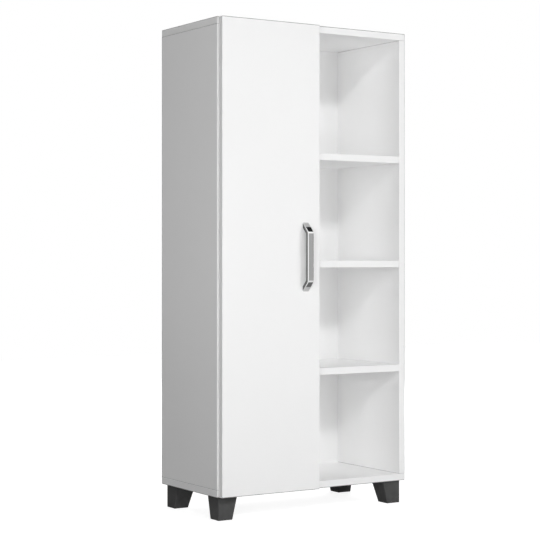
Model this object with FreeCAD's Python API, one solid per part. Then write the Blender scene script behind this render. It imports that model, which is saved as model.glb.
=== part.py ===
import FreeCAD, Part
import math
import os

from FreeCAD import Vector

# A one-door broom cupboard with an open shelf column beside the door.
# Millimetres. The origin is on the floor under the middle of the bounding box,
# +Z is up, the door faces -Y and hangs on the -X side.

# Carcass boards
carcass_width = 700.0
carcass_height = 1436.0
carcass_depth = 345.0
board = 22.0
edge_round = 1.5
back_board = 3.0
back_inset = 3.0

# Shelves of the open column, and one shelf at the top of the broom bay
lower_clear_height = 329.0
shelf_clear_height = 312.0
shelf_board = 22.0
shelf_play = 0.3
shelf_setback = 1.0
bay_shelf_setback = 30.0

# Door
door_board = 19.0
door_gap = 2.5
door_side_reveal = 5.0
door_end_reveal = 1.0
door_past_centre = 5.0

# Bow handle
handle_length = 212.0
handle_reach = 30.0
handle_front_length = 152.0
handle_bar = 11.5
handle_width = 22.0
handle_bend = 9.0
handle_inner_bend = 2.5
handle_chamfer = 2.0
handle_hole_spacing = 192.0
handle_from_edge = 52.0
handle_thread_depth = 7.0

# Feet
foot_height = 72.0
foot_top = 66.0
foot_bottom = 49.0
foot_inset = 12.0
foot_edge_round = 2.0
foot_wall = 3.0
foot_floor = 4.0
foot_rib = 3.0
foot_boss_radius = 9.0
foot_access_radius = 6.0
foot_shoulder = 12.0

# Knock-down fittings: cam, cam bolt, dowel, cover cap
fitting_from_front = 50.0
dowel_from_fitting = 45.0
cam_radius = 7.5
cam_depth = 13.0
cam_from_end = 34.0
cam_slot_width = 2.0
cam_slot_depth = 2.0
cap_radius = 8.5
cap_thickness = 0.8
bolt_radius = 3.0
bolt_in_face = 11.0
bolt_past_rim = 5.0
dowel_radius = 4.0
dowel_in_face = 12.0
dowel_in_end = 20.0
fit_gap = 0.05

# Shelf pins
pin_radius = 2.5
pin_in_board = 8.0
pin_out = 8.0
pin_from_edge = 45.0

# Back nails
nail_head_radius = 2.0
nail_head = 0.8
nail_radius = 0.7
nail_length = 20.0
nail_pitch = 210.0

# Wood screws and machine screws
foot_screw_radius = 2.25
foot_screw_bite = 17.0
foot_screw_head_radius = 4.6
foot_screw_head = 3.4
hinge_screw_radius = 1.75
hinge_screw_bite = 12.0
hinge_screw_head_radius = 3.4
hinge_screw_head = 1.8
handle_screw_radius = 2.0
handle_screw_head_radius = 4.0
handle_screw_head = 2.4
arm_screw_radius = 2.0
arm_screw_head_radius = 3.2
arm_screw_head = 1.6
arm_screw_bite = 6.0

# Door bumpers
bumper_radius = 4.5
bumper_round = 0.8
bumper_from_edge = 9.0
bumper_from_end = 60.0
bumper_air = 0.3

# Concealed hinge: cup let into the door, arm on a plate on the side board.
# Pivots are given in plan, from the cup's axis (first) and from the door's
# inner face towards the back (second).
hinge_from_end = 100.0
cup_radius = 17.5
cup_depth = 12.0
cup_edge = 5.0
cup_wall = 1.0
cup_air = 0.1
cup_base_round = 1.5
flange = 1.0
flange_half_height = 30.0
flange_width = 14.0
flange_corner = 5.0
flange_screw_spacing = 48.0
flange_screw_offset = 6.0
arm_rear_pivot = (4.9, 12.9)
arm_nose_pivot = (12.0, -4.2)
cup_edge_pivot = (-13.1, -3.4)
cup_mid_pivot = (-7.1, -4.0)
hinge_pin_radius = 1.25
running_gap = 0.05
open_pivot_room = 2.2
outer_link_half_height = 3.0
layer_gap = 0.4
cheek = 1.5
inner_cheek = 1.6
strap_half = 1.8
eye_wall = 1.3
open_eye_wall = 1.2
bridge_radius = 1.1
bridge_from_nose = 4.5
arm_seat = 1.0
arm_channel = 7.0
arm_rear = 60.0
arm_web_front = 18.0
arm_corner = 3.0
plate_base = 2.0
plate_wing_half_height = 26.0
plate_wing = 14.0
plate_corner = 5.0
plate_screw_spacing = 32.0
plate_screw_from_front = 37.0
ridge_gap = 0.1

# Levels and planes worked out from the sizes above
total_depth = handle_reach + door_board + door_gap + carcass_depth + back_board
y_handle = -total_depth / 2
y_door_front = y_handle + handle_reach
y_door_back = y_door_front + door_board
y_front = y_door_back + door_gap
y_rear = y_front + carcass_depth
y_back = y_rear + back_board
x_left = -carcass_width / 2
x_right = carcass_width / 2
z_bottom = foot_height
z_top = foot_height + carcass_height
z_floor = z_bottom + board
z_ceiling = z_top - board
left_inner = x_left + board
right_inner = x_right - board
divider_left = -board / 2
divider_right = board / 2
door_left = x_left + door_side_reveal
door_right = door_past_centre
door_low = z_bottom + door_end_reveal
door_high = z_top - door_end_reveal
lower_shelf_z = z_floor + lower_clear_height
middle_shelf_z = lower_shelf_z + shelf_board + shelf_clear_height
upper_shelf_z = middle_shelf_z + shelf_board + shelf_clear_height
handle_x = door_right - handle_from_edge
handle_z = (door_low + door_high) / 2
cup_x = door_left + cup_edge + cup_radius
hinge_levels = {
    "upper": door_high - hinge_from_end,
    "middle": (door_low + door_high) / 2,
    "lower": door_low + hinge_from_end,
}
TINY = 1e-6


def block(x0, x1, y0, y1, z0, z1):
    """A box between two corners."""
    return Part.makeBox(x1 - x0, y1 - y0, z1 - z0, Vector(x0, y0, z0))


def rod(radius, start, end):
    """A round bar from one point to another."""
    axis = end.sub(start)
    return Part.makeCylinder(radius, axis.Length, start, axis)


def fuse(shapes):
    """One clean solid from shapes that touch or overlap."""
    first = shapes[0]
    if len(shapes) == 1:
        return first
    return first.multiFuse(shapes[1:]).removeSplitter()


def cut(solid, tools):
    """The solid less every tool."""
    if not tools:
        return solid
    return solid.cut(Part.makeCompound(tools))


def lies_on(edge, axis, value):
    """True where both ends of an edge lie in the plane axis = value."""
    return all(abs(getattr(v.Point, axis) - value) < TINY for v in edge.Vertexes)


def runs_along(edge, axis):
    """True for a straight edge parallel to an axis."""
    start, end = edge.Vertexes[0].Point, edge.Vertexes[-1].Point
    others = [name for name in "xyz" if name != axis]
    level = all(abs(getattr(start, name) - getattr(end, name)) < TINY for name in others)
    return level and abs(getattr(start, axis) - getattr(end, axis)) > TINY


def soften(solid, radius, keep):
    """Round the edges that keep() picks."""
    return solid.makeFillet(radius, [edge for edge in solid.Edges if keep(edge)])


def front_rounded(solid, y_plane):
    """Round the arrises round a board's front edge."""
    return soften(solid, edge_round, lambda e: lies_on(e, "y", y_plane))


def prism(face_wire, z0, z1):
    """A plan outline drawn out from level z0 to level z1."""
    face = Part.Face(face_wire)
    face.translate(Vector(0, 0, z0))
    return face.extrude(Vector(0, 0, z1 - z0))


def plan_circle(centre, radius, z0, z1):
    """A disc in plan, drawn out from z0 to z1."""
    return rod(radius, Vector(centre[0], centre[1], z0), Vector(centre[0], centre[1], z1))


def plan_strap(points, half, z0, z1):
    """A bent flat strap of even width through plan points, round at its ends and bends."""
    pieces = []
    for (ax, ay), (bx, by) in zip(points, points[1:]):
        length = math.hypot(bx - ax, by - ay)
        nx = -(by - ay) / length * half
        ny = (bx - ax) / length * half
        corners = [(ax + nx, ay + ny), (bx + nx, by + ny), (bx - nx, by - ny), (ax - nx, ay - ny)]
        outline = Part.makePolygon([Vector(x, y, 0) for x, y in corners + corners[:1]])
        pieces.append(prism(outline, z0, z1))
    for point in points:
        pieces.append(plan_circle(point, half, z0, z1))
    return fuse(pieces)


def both_sides(make, inner, outer, level):
    """The same piece above and below a hinge's middle level."""
    return [make(level + inner, level + outer), make(level - outer, level - inner)]


# The uprights between the bottom and top panels: (low x, high x, x of the face that the cams
# open on, which way that face looks)
UPRIGHTS = {
    "left_side": (x_left, left_inner, left_inner, 1),
    "divider": (divider_left, divider_right, divider_left, -1),
    "right_side": (right_inner, x_right, right_inner, -1),
}
FITTING_ROWS = (y_front + fitting_from_front, y_rear - fitting_from_front)
DOWEL_ROWS = (FITTING_ROWS[0] + dowel_from_fitting, FITTING_ROWS[1] - dowel_from_fitting)
# Ends of the uprights: (level of the joint, direction from the upright into the panel)
JOINT_LEVELS = ((z_ceiling, 1), (z_floor, -1))


def upright_fittings(name):
    """Cams, caps, bolts and dowels at both ends of one upright, with the room they need."""
    low_x, high_x, face_x, out = UPRIGHTS[name]
    mid_x = (low_x + high_x) / 2
    made = {"cams": [], "caps": [], "bolts": [], "dowels": [], "room": []}
    for level, into_panel in JOINT_LEVELS:
        cam_z = level - into_panel * cam_from_end
        for y in FITTING_ROWS:
            face = Vector(face_x, y, cam_z)
            cap_seat = Vector(face_x - out * cap_thickness, y, cam_z)
            cam_end = Vector(face_x - out * (cap_thickness + cam_depth), y, cam_z)
            bolt_tip = Vector(mid_x, y, cam_z + into_panel * (cam_radius - bolt_past_rim))
            bolt_root = Vector(mid_x, y, level + into_panel * bolt_in_face)
            bolt = rod(bolt_radius, bolt_tip, bolt_root)
            bolt_room = rod(bolt_radius + fit_gap, bolt_tip, bolt_root)
            slot = block(face_x - cam_radius, face_x + cam_radius, y - cam_radius, y + cam_radius,
                         cam_z - cam_slot_width / 2, cam_z + cam_slot_width / 2)
            slot_depth = rod(cam_radius * 2, cap_seat, cap_seat + Vector(-out * cam_slot_depth, 0, 0))
            cam = rod(cam_radius, cap_seat, cam_end).cut(bolt_room).cut(slot.common(slot_depth))
            made["cams"].append(cam)
            made["caps"].append(rod(cap_radius, cap_seat, face))
            made["bolts"].append(bolt)
            made["room"] += [rod(cam_radius + fit_gap, face, cam_end), bolt_room,
                             rod(cap_radius + fit_gap, cap_seat, face)]
        for y in DOWEL_ROWS:
            ends = [Vector(mid_x, y, level - into_panel * dowel_in_end),
                    Vector(mid_x, y, level + into_panel * dowel_in_face)]
            made["dowels"].append(rod(dowel_radius, *ends))
            made["room"].append(rod(dowel_radius + fit_gap, *ends))
    return made


def shelf_pin_places(low_x, high_x, shelf_z):
    """Start and end of the four pins under a shelf, from inside a board to under the shelf."""
    level = shelf_z + pin_radius
    places = []
    for y in (y_front + pin_from_edge, y_rear - pin_from_edge):
        places.append((Vector(low_x - pin_in_board, y, level), Vector(low_x + pin_out, y, level)))
        places.append((Vector(high_x + pin_in_board, y, level), Vector(high_x - pin_out, y, level)))
    return places


SHELVES = {
    "shelf_upper": (divider_right, right_inner, upper_shelf_z, shelf_setback),
    "shelf_middle": (divider_right, right_inner, middle_shelf_z, shelf_setback),
    "shelf_lower": (divider_right, right_inner, lower_shelf_z, shelf_setback),
    "bay_shelf": (left_inner, divider_left, upper_shelf_z, bay_shelf_setback),
}


def make_shelf(name):
    """A shelf with a rounded front and a hidden groove over each pin."""
    low_x, high_x, shelf_z, setback = SHELVES[name]
    front = y_front + setback
    solid = block(low_x + shelf_play, high_x - shelf_play, front, y_rear, shelf_z, shelf_z + shelf_board)
    solid = front_rounded(solid, front)
    grooves = []
    for start, end in shelf_pin_places(low_x, high_x, shelf_z):
        toward = 1 if end.x > start.x else -1
        root = end.x - toward * pin_out
        tip = end.x + toward * fit_gap
        grooves.append(block(min(root, tip), max(root, tip), start.y - pin_radius - fit_gap,
                             start.y + pin_radius + fit_gap, shelf_z, shelf_z + 2 * pin_radius + fit_gap))
    return cut(solid, grooves)


def all_shelf_pins():
    """Every shelf pin, and the bores they need in the uprights."""
    pins = []
    bores = []
    for low_x, high_x, shelf_z, _ in SHELVES.values():
        for start, end in shelf_pin_places(low_x, high_x, shelf_z):
            pins.append(rod(pin_radius, start, end))
            bores.append(rod(pin_radius + fit_gap, start, end))
    return pins, bores


def spread(low, high, pitch):
    """Even places from low to high, no further apart than pitch."""
    gaps = max(1, math.ceil((high - low) / pitch))
    return [low + (high - low) * i / gaps for i in range(gaps + 1)]


def nail_places():
    """Where the back board is nailed: round its rim and up the divider."""
    low, high = z_bottom + board / 2, z_top - board / 2
    left, right = x_left + board / 2, x_right - board / 2
    places = []
    for z in spread(low, high, nail_pitch):
        places += [(left, z), (0.0, z), (right, z)]
    for x in spread(left, right, nail_pitch)[1:-1]:
        if abs(x) > board:
            places += [(x, low), (x, high)]
    return places


def back_nails():
    """Nails with their heads flush in the back board, and the room they need."""
    nails = []
    room = []
    for x, z in nail_places():
        head = Vector(x, y_back, z)
        neck = Vector(x, y_back - nail_head, z)
        tip = Vector(x, y_back - nail_length, z)
        nails.append(fuse([rod(nail_head_radius, head, neck), rod(nail_radius, neck, tip)]))
        room += [rod(nail_head_radius + fit_gap, head, neck), rod(nail_radius + fit_gap, neck, tip)]
    return nails, room


def make_panel(z0, z1):
    """The top or bottom panel: it runs the full width and shows its rounded ends."""
    solid = block(x_left, x_right, y_front, y_rear, z0, z1)
    return soften(solid, edge_round, lambda e: not lies_on(e, "y", y_rear))


def make_upright(low_x, high_x):
    """A side or the divider, standing between the bottom and top panels."""
    return front_rounded(block(low_x, high_x, y_front, y_rear, z_floor, z_ceiling), y_front)


FEET = {
    "foot_front_left": (-1, -1),
    "foot_front_right": (1, -1),
    "foot_rear_left": (-1, 1),
    "foot_rear_right": (1, 1),
}


def foot_block(side, end, grow, low, high):
    """A foot's taper between two levels: plumb on its outer faces, sloping on its inner ones."""
    corner_x = (x_left if side < 0 else x_right) - side * (foot_inset - grow)
    corner_y = (y_front if end < 0 else y_rear) - end * (foot_inset - grow)
    wires = []
    for z in (low, high):
        size = foot_bottom + (foot_top - foot_bottom) * z / foot_height + 2 * grow
        far_x = corner_x - side * size
        far_y = corner_y - end * size
        points = [(corner_x, corner_y), (far_x, corner_y), (far_x, far_y), (corner_x, far_y)]
        wires.append(Part.makePolygon([Vector(x, y, z) for x, y in points + points[:1]]))
    return Part.makeLoft(wires, True, True)


def foot_axis(side, end):
    """Plan place of a foot's screw: the middle of its base."""
    reach = foot_inset + foot_bottom / 2
    return ((x_left if side < 0 else x_right) - side * reach, (y_front if end < 0 else y_rear) - end * reach)


def make_foot(name):
    """A moulded foot: a tapered shell with a floor, crossed ribs and a screw boss."""
    side, end = FEET[name]
    x, y = foot_axis(side, end)
    outer = foot_block(side, end, 0.0, 0.0, foot_height)
    outer = soften(outer, foot_edge_round, lambda e: not lies_on(e, "z", foot_height))
    hollow = foot_block(side, end, -foot_wall, foot_floor, foot_height)
    boss = rod(foot_boss_radius, Vector(x, y, 0), Vector(x, y, foot_height))
    reach = foot_top
    ribs = [block(x - reach, x + reach, y - foot_rib / 2, y + foot_rib / 2, 0, foot_height),
            block(x - foot_rib / 2, x + foot_rib / 2, y - reach, y + reach, 0, foot_height)]
    hollow = cut(hollow, [boss] + ribs)
    shoulder = foot_height - foot_shoulder
    bores = [rod(foot_access_radius, Vector(x, y, 0), Vector(x, y, shoulder)),
             rod(foot_screw_radius + fit_gap, Vector(x, y, shoulder), Vector(x, y, foot_height))]
    return cut(outer, [hollow] + bores)


def foot_screws():
    """One screw up through each foot's boss, and the bores it needs in the bottom panel."""
    screws = []
    bores = []
    for side, end in FEET.values():
        x, y = foot_axis(side, end)
        shoulder = Vector(x, y, foot_height - foot_shoulder)
        tip = Vector(x, y, foot_height + foot_screw_bite)
        screws.append(headed_screw(shoulder, tip, foot_screw_radius, foot_screw_head_radius,
                                   foot_screw_head))
        bores.append(rod(foot_screw_radius + fit_gap, shoulder, tip))
    return screws, bores


def make_handle():
    """A bow of flat bar: two slanted legs and a straight grip, with chamfered front arrises."""
    half_end = handle_length / 2
    half_front = handle_front_length / 2
    leg = math.hypot(half_end - half_front, handle_reach)
    slope = (half_end - half_front) / leg
    rise = handle_reach / leg
    inner_foot = half_end - handle_bar / rise
    inner_front = half_front - handle_bar * (1 - slope) / rise
    inner_reach = handle_reach - handle_bar
    outline = [(half_end, 0), (half_front, handle_reach), (-half_front, handle_reach), (-half_end, 0),
               (-inner_foot, 0), (-inner_front, inner_reach), (inner_front, inner_reach), (inner_foot, 0)]
    x0 = handle_x - handle_width / 2
    points = [Vector(x0, y_door_front - out, handle_z + up) for up, out in outline]
    bar = Part.Face(Part.makePolygon(points + points[:1])).extrude(Vector(handle_width, 0, 0))

    def is_bend(edge, up, out):
        middle = edge.CenterOfMass
        level = abs(middle.z - handle_z)
        return abs(level - up) < TINY and abs(y_door_front - out - middle.y) < TINY

    bar = soften(bar, handle_bend, lambda e: is_bend(e, half_front, handle_reach))
    bar = soften(bar, handle_inner_bend, lambda e: is_bend(e, inner_front, inner_reach))

    def is_front_arris(edge):
        ends = [v.Point for v in edge.Vertexes]
        along_side = abs(ends[0].x - ends[-1].x) < TINY
        middle = edge.CenterOfMass
        out = y_door_front - middle.y
        level = abs(middle.z - handle_z)
        outer = handle_reach - max(0.0, level - half_front) / (half_end - half_front) * handle_reach
        return along_side and out > outer - handle_bar / 3 and out > TINY

    bar = bar.makeChamfer(handle_chamfer, [e for e in bar.Edges if is_front_arris(e)])
    bores = []
    for up in (-handle_hole_spacing / 2, handle_hole_spacing / 2):
        root = Vector(handle_x, y_door_front, handle_z + up)
        bores.append(rod(handle_screw_radius + fit_gap, root, root + Vector(0, -handle_thread_depth, 0)))
    return cut(bar, bores)


def handle_screws():
    """Two screws from inside the door into the handle's legs, and their bores in the door."""
    screws = []
    bores = []
    for up in (-handle_hole_spacing / 2, handle_hole_spacing / 2):
        seat = Vector(handle_x, y_door_back, handle_z + up)
        tip = Vector(handle_x, y_door_front - handle_thread_depth + fit_gap, handle_z + up)
        screws.append(headed_screw(seat, tip, handle_screw_radius, handle_screw_head_radius,
                                   handle_screw_head))
        bores.append(rod(handle_screw_radius + fit_gap, seat, tip))
    return screws, bores


def door_bumpers():
    """Soft buttons on the door's inner face, against the divider's front edge."""
    made = []
    for z in (door_low + bumper_from_end, door_high - bumper_from_end):
        root = Vector(door_right - bumper_from_edge, y_door_back, z)
        button = rod(bumper_radius, root, root + Vector(0, door_gap - bumper_air, 0))
        top = root.y + door_gap - bumper_air
        made.append(soften(button, bumper_round, lambda e: lies_on(e, "y", top)))
    return made


# Layers of a hinge, as heights above and below its middle level
cheek_inner = outer_link_half_height + layer_gap
cheek_outer = cheek_inner + cheek
link_inner = cheek_outer + layer_gap
link_outer = link_inner + inner_cheek
pocket_half = link_outer + layer_gap
stub_outer = pocket_half + 2 * cheek
eye_radius = hinge_pin_radius + running_gap + eye_wall
open_eye_hole = hinge_pin_radius + open_pivot_room


def at(pivot):
    """A pivot's place in plan."""
    return (cup_x + pivot[0], y_door_back + pivot[1])


def shifted(place, dx, dy):
    """A plan place moved by dx and dy."""
    return (place[0] + dx, place[1] + dy)


REAR = at(arm_rear_pivot)
NOSE = at(arm_nose_pivot)
EDGE = at(cup_edge_pivot)
MID = at(cup_mid_pivot)
arm_low = cup_x + arm_seat
arm_high = arm_low + arm_channel
arm_end_y = y_front + arm_rear
web_front_y = y_front + arm_web_front


def pin_at(place, half, radius):
    """A pivot pin or its bore through a hinge's middle."""
    return lambda level: plan_circle(place, radius, level - half, level + half)


def outer_link(level):
    """The hooked link from the arm's rear pivot round the cup's rim to the pivot near the door's edge."""
    knee = shifted(REAR, 0.1, -6.0)
    heel = shifted(EDGE, 6.1, -2.3)
    toe = shifted(EDGE, 2.6, -2.3)
    low, high = level - outer_link_half_height, level + outer_link_half_height
    link = fuse([plan_strap([REAR, knee, heel, toe, EDGE], strap_half, low, high),
                 plan_circle(REAR, eye_radius, low, high), plan_circle(EDGE, eye_radius, low, high)])
    holes = [plan_circle(place, hinge_pin_radius + running_gap, low, high) for place in (REAR, EDGE)]
    return cut(link, holes)


def inner_link(level):
    """Two cheeks and a bridge from the arm's nose to the pivot in the cup's middle."""

    def cheek_plate(low, high):
        plate = fuse([plan_strap([NOSE, MID], strap_half, low, high),
                      plan_circle(NOSE, eye_radius, low, high),
                      plan_circle(MID, open_eye_hole + open_eye_wall, low, high)])
        holes = [plan_circle(NOSE, hinge_pin_radius + running_gap, low, high),
                 plan_circle(MID, open_eye_hole, low, high)]
        return cut(plate, holes)

    plates = both_sides(cheek_plate, link_inner, link_outer, level)
    share = bridge_from_nose / math.hypot(MID[0] - NOSE[0], MID[1] - NOSE[1])
    place = (NOSE[0] + (MID[0] - NOSE[0]) * share, NOSE[1] + (MID[1] - NOSE[1]) * share)
    bridge = plan_circle(place, bridge_radius, level - link_outer, level + link_outer)
    return fuse(plates + [bridge])


def hinge_arm(level):
    """A channel that straddles the plate's ridge, with two cheeks that reach into the cup.

    Its rear screw sits in a slot that is open to the rear, so that the arm slides on."""
    neck = shifted(NOSE, -1.3, 8.5)
    shoulder = (arm_high - strap_half, REAR[1] + 2.0)

    def cheek_plate(low, high):
        plate = fuse([plan_strap([NOSE, neck, shoulder], strap_half, low, high),
                      plan_circle(NOSE, eye_radius, low, high), plan_circle(REAR, eye_radius, low, high),
                      block(arm_low, arm_high, REAR[1], arm_end_y, low, high)])
        return cut(plate, [plan_circle(place, hinge_pin_radius, low, high) for place in (REAR, NOSE)])

    plates = both_sides(cheek_plate, cheek_inner, cheek_outer, level)
    web = block(arm_high - cheek, arm_high, web_front_y, arm_end_y, level - cheek_outer, level + cheek_outer)
    lines = arm_screw_lines(level)
    openings = [rod(arm_screw_radius, start, end) for start, end in lines]
    openings.append(block(arm_high - cheek, arm_high, lines[-1][0].y, arm_end_y,
                          level - arm_screw_radius, level + arm_screw_radius))
    return cut(fuse(plates + [web]), openings + arm_end_corners(level))


def arm_end_corners(level):
    """What rounding takes off the two rear corners of the arm and of the spine under it."""
    corners = []
    for side in (-1, 1):
        edge_z = level + side * cheek_outer
        square_z = sorted((edge_z, edge_z - side * arm_corner))
        centre_y = arm_end_y - arm_corner
        square = block(left_inner, arm_high, centre_y, arm_end_y, *square_z)
        centre = Vector(left_inner, centre_y, edge_z - side * arm_corner)
        rounded = rod(arm_corner, centre, centre + Vector(arm_high - left_inner, 0, 0))
        corners.append(square.cut(rounded))
    return corners


def arm_screw_lines(level):
    """Centre lines of the arm's clamping and adjusting screws, from head seat to tip."""
    lines = []
    for share in (0.3, 0.75):
        y = web_front_y + (arm_end_y - web_front_y) * share
        seat = Vector(arm_high, y, level)
        lines.append((seat, seat + Vector(-cheek - arm_screw_bite, 0, 0)))
    return lines


def hinge_plate(level):
    """A winged plate with a ridge for the arm, screwed to the side board."""
    y_mid = y_front + plate_screw_from_front
    face = left_inner + plate_base
    half_wing = plate_wing / 2
    wings = block(left_inner, face, y_mid - half_wing, y_mid + half_wing,
                  level - plate_wing_half_height, level + plate_wing_half_height)
    wings = soften(wings, plate_corner, lambda e: runs_along(e, "x"))
    half_ridge = cheek_inner - ridge_gap
    spine = block(left_inner, face, web_front_y, arm_end_y, level - cheek_outer, level + cheek_outer)
    ridge = block(face, arm_high - cheek, web_front_y, arm_end_y, level - half_ridge, level + half_ridge)
    bores = [rod(arm_screw_radius, start, end) for start, end in arm_screw_lines(level)]
    for z in (level - plate_screw_spacing / 2, level + plate_screw_spacing / 2):
        bores.append(rod(hinge_screw_radius, Vector(left_inner, y_mid, z), Vector(face, y_mid, z)))
    return cut(fuse([wings, spine, ridge]), bores + arm_end_corners(level))


def hinge_cup(level):
    """A cast cup with a flange, a pocket for the links and two webs that carry the edge pivot."""
    mouth = y_door_back
    floor = mouth - cup_depth
    centre = Vector(cup_x, mouth, level)
    body = rod(cup_radius, Vector(cup_x, floor, level), centre)
    body = soften(body, cup_base_round, lambda e: lies_on(e, "y", floor))
    wing_x = cup_x + flange_screw_offset
    plate_low = cup_x - cup_radius + cup_wall / 2
    wing = block(wing_x - flange_width / 2, wing_x + flange_width / 2, mouth, mouth + flange,
                 level - flange_half_height, level + flange_half_height)
    wing = soften(wing, flange_corner, lambda e: runs_along(e, "y"))
    rim = rod(cup_radius + cup_wall, centre, centre + Vector(0, flange, 0))
    rim = rim.common(block(plate_low, cup_x + 2 * cup_radius, mouth, mouth + flange,
                           level - 2 * cup_radius, level + 2 * cup_radius))
    inner = cup_radius - cup_wall
    pocket = rod(inner, Vector(cup_x, floor + cup_wall, level), Vector(cup_x, mouth + flange, level))
    pocket = pocket.common(block(cup_x - inner, cup_x + inner, floor, mouth + flange,
                                 level - pocket_half, level + pocket_half))

    def web(low, high):
        support = block(cup_x - cup_radius, EDGE[0] + eye_radius, floor, EDGE[1], low, high)
        support = support.common(rod(cup_radius - cup_wall / 2, Vector(cup_x, floor, level), centre))
        return fuse([support, plan_circle(EDGE, eye_radius, low, high)])

    cup = cut(fuse([body, wing, rim]), [pocket])
    cup = fuse([cup] + both_sides(web, cheek_inner, cheek_outer, level))
    bores = [plan_circle(EDGE, hinge_pin_radius, level - cheek_outer, level + cheek_outer),
             plan_circle(MID, hinge_pin_radius, level - stub_outer, level + stub_outer)]
    for start, end in cup_screw_lines(level):
        bores.append(rod(hinge_screw_radius, start, end))
    return cut(cup, bores)


def cup_screw_lines(level):
    """Centre lines of the cup's two screws, from head seat to tip."""
    x = cup_x + flange_screw_offset
    lines = []
    for z in (level - flange_screw_spacing / 2, level + flange_screw_spacing / 2):
        seat = Vector(x, y_door_back + flange, z)
        lines.append((seat, seat + Vector(0, -flange - hinge_screw_bite, 0)))
    return lines


def plate_screw_lines(level):
    """Centre lines of the plate's two screws, from head seat to tip."""
    y = y_front + plate_screw_from_front
    lines = []
    for z in (level - plate_screw_spacing / 2, level + plate_screw_spacing / 2):
        seat = Vector(left_inner + plate_base, y, z)
        lines.append((seat, seat + Vector(-plate_base - hinge_screw_bite, 0, 0)))
    return lines


def headed_screw(seat, tip, radius, head_radius, head):
    """A plain screw: a round head on its seat and a shank to its tip."""
    out = seat.sub(tip)
    out.normalize()
    return fuse([rod(head_radius, seat, seat + out * head), rod(radius, seat, tip)])


def hinge_screws(lines_at):
    """Screws of one kind for all three hinges, and the bores they need in the boards."""
    screws = []
    bores = []
    for level in hinge_levels.values():
        for seat, tip in lines_at(level):
            screws.append(headed_screw(seat, tip, hinge_screw_radius, hinge_screw_head_radius,
                                       hinge_screw_head))
            bores.append(rod(hinge_screw_radius + fit_gap, seat, tip))
    return screws, bores


def make_door(cup_bores, screw_bores):
    """The door board with rounded arrises, three cup bores and its screw bores."""
    solid = block(door_left, door_right, y_door_front, y_door_back, door_low, door_high)
    solid = soften(solid, edge_round, lambda e: True)
    return cut(solid, cup_bores + screw_bores)


def build():
    """Every node of the cupboard, by name."""
    nodes = {}
    fittings = {name: upright_fittings(name) for name in UPRIGHTS}
    room = [tool for made in fittings.values() for tool in made["room"]]
    pins, pin_bores = all_shelf_pins()
    nails, nail_room = back_nails()
    feet_screws, feet_bores = foot_screws()
    plate_screws, plate_bores = hinge_screws(plate_screw_lines)
    cup_screws, cup_screw_bores = hinge_screws(cup_screw_lines)
    grip_screws, grip_bores = handle_screws()

    for name, (low_x, high_x, _, _) in UPRIGHTS.items():
        tools = room + pin_bores + nail_room
        if name == "left_side":
            tools = tools + plate_bores
        nodes[name] = cut(make_upright(low_x, high_x), tools)
    nodes["top_panel"] = cut(make_panel(z_ceiling, z_top), room + nail_room)
    nodes["bottom_panel"] = cut(make_panel(z_bottom, z_floor), room + nail_room + feet_bores)
    for name in SHELVES:
        nodes[name] = make_shelf(name)
    back = block(x_left + back_inset, x_right - back_inset, y_rear, y_back,
                 z_bottom + back_inset, z_top - back_inset)
    nodes["back_panel"] = cut(back, nail_room)
    nodes["back_nails"] = Part.makeCompound(nails)
    kinds = {"cam_locks": "cams", "cam_caps": "caps", "cam_bolts": "bolts", "dowels": "dowels"}
    for node, kind in kinds.items():
        nodes[node] = Part.makeCompound([piece for made in fittings.values() for piece in made[kind]])
    nodes["shelf_pins"] = Part.makeCompound(pins)
    for name in FEET:
        nodes[name] = make_foot(name)
    nodes["foot_screws"] = Part.makeCompound(feet_screws)

    cup_bores = []
    arm_pins = []
    cup_pins = []
    arm_screws = []
    for where, level in hinge_levels.items():
        nodes["hinge_plate_" + where] = hinge_plate(level)
        nodes["hinge_arm_" + where] = hinge_arm(level)
        nodes["outer_link_" + where] = outer_link(level)
        nodes["inner_link_" + where] = inner_link(level)
        nodes["hinge_cup_" + where] = hinge_cup(level)
        cup_bores.append(rod(cup_radius + cup_air, Vector(cup_x, y_door_back, level),
                             Vector(cup_x, y_door_back - cup_depth - cup_air, level)))
        arm_pins.append(plan_circle(REAR, hinge_pin_radius, level - cheek_outer, level + cheek_outer))
        arm_pins.append(plan_circle(NOSE, hinge_pin_radius, level - link_outer, level + link_outer))
        cup_pins.append(plan_circle(EDGE, hinge_pin_radius, level - cheek_outer, level + cheek_outer))
        cup_pins += both_sides(lambda low, high: plan_circle(MID, hinge_pin_radius, low, high),
                               link_inner, stub_outer, level)
        for seat, tip in arm_screw_lines(level):
            arm_screws.append(headed_screw(seat, tip, arm_screw_radius, arm_screw_head_radius,
                                           arm_screw_head))
    nodes["arm_pins"] = Part.makeCompound(arm_pins)
    nodes["cup_pins"] = Part.makeCompound(cup_pins)
    nodes["arm_screws"] = Part.makeCompound(arm_screws)
    nodes["plate_screws"] = Part.makeCompound(plate_screws)
    nodes["cup_screws"] = Part.makeCompound(cup_screws)

    nodes["door_panel"] = make_door(cup_bores, cup_screw_bores + grip_bores)
    nodes["handle"] = make_handle()
    nodes["handle_screws"] = Part.makeCompound(grip_screws)
    nodes["door_bumpers"] = Part.makeCompound(door_bumpers())
    return nodes


os.makedirs("parts", exist_ok=True)
for node_name, shape in build().items():
    shape.exportStep(os.path.join("parts", node_name + ".step"))
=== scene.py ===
"""Looks and studio for a broom cupboard with an open shelf column.

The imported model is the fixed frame, in metres, +Z up, with the door facing -Y. This file gives every
piece its finish, makes the screws with their recesses and threads, and sets the studio and camera.
"""

import math

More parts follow.
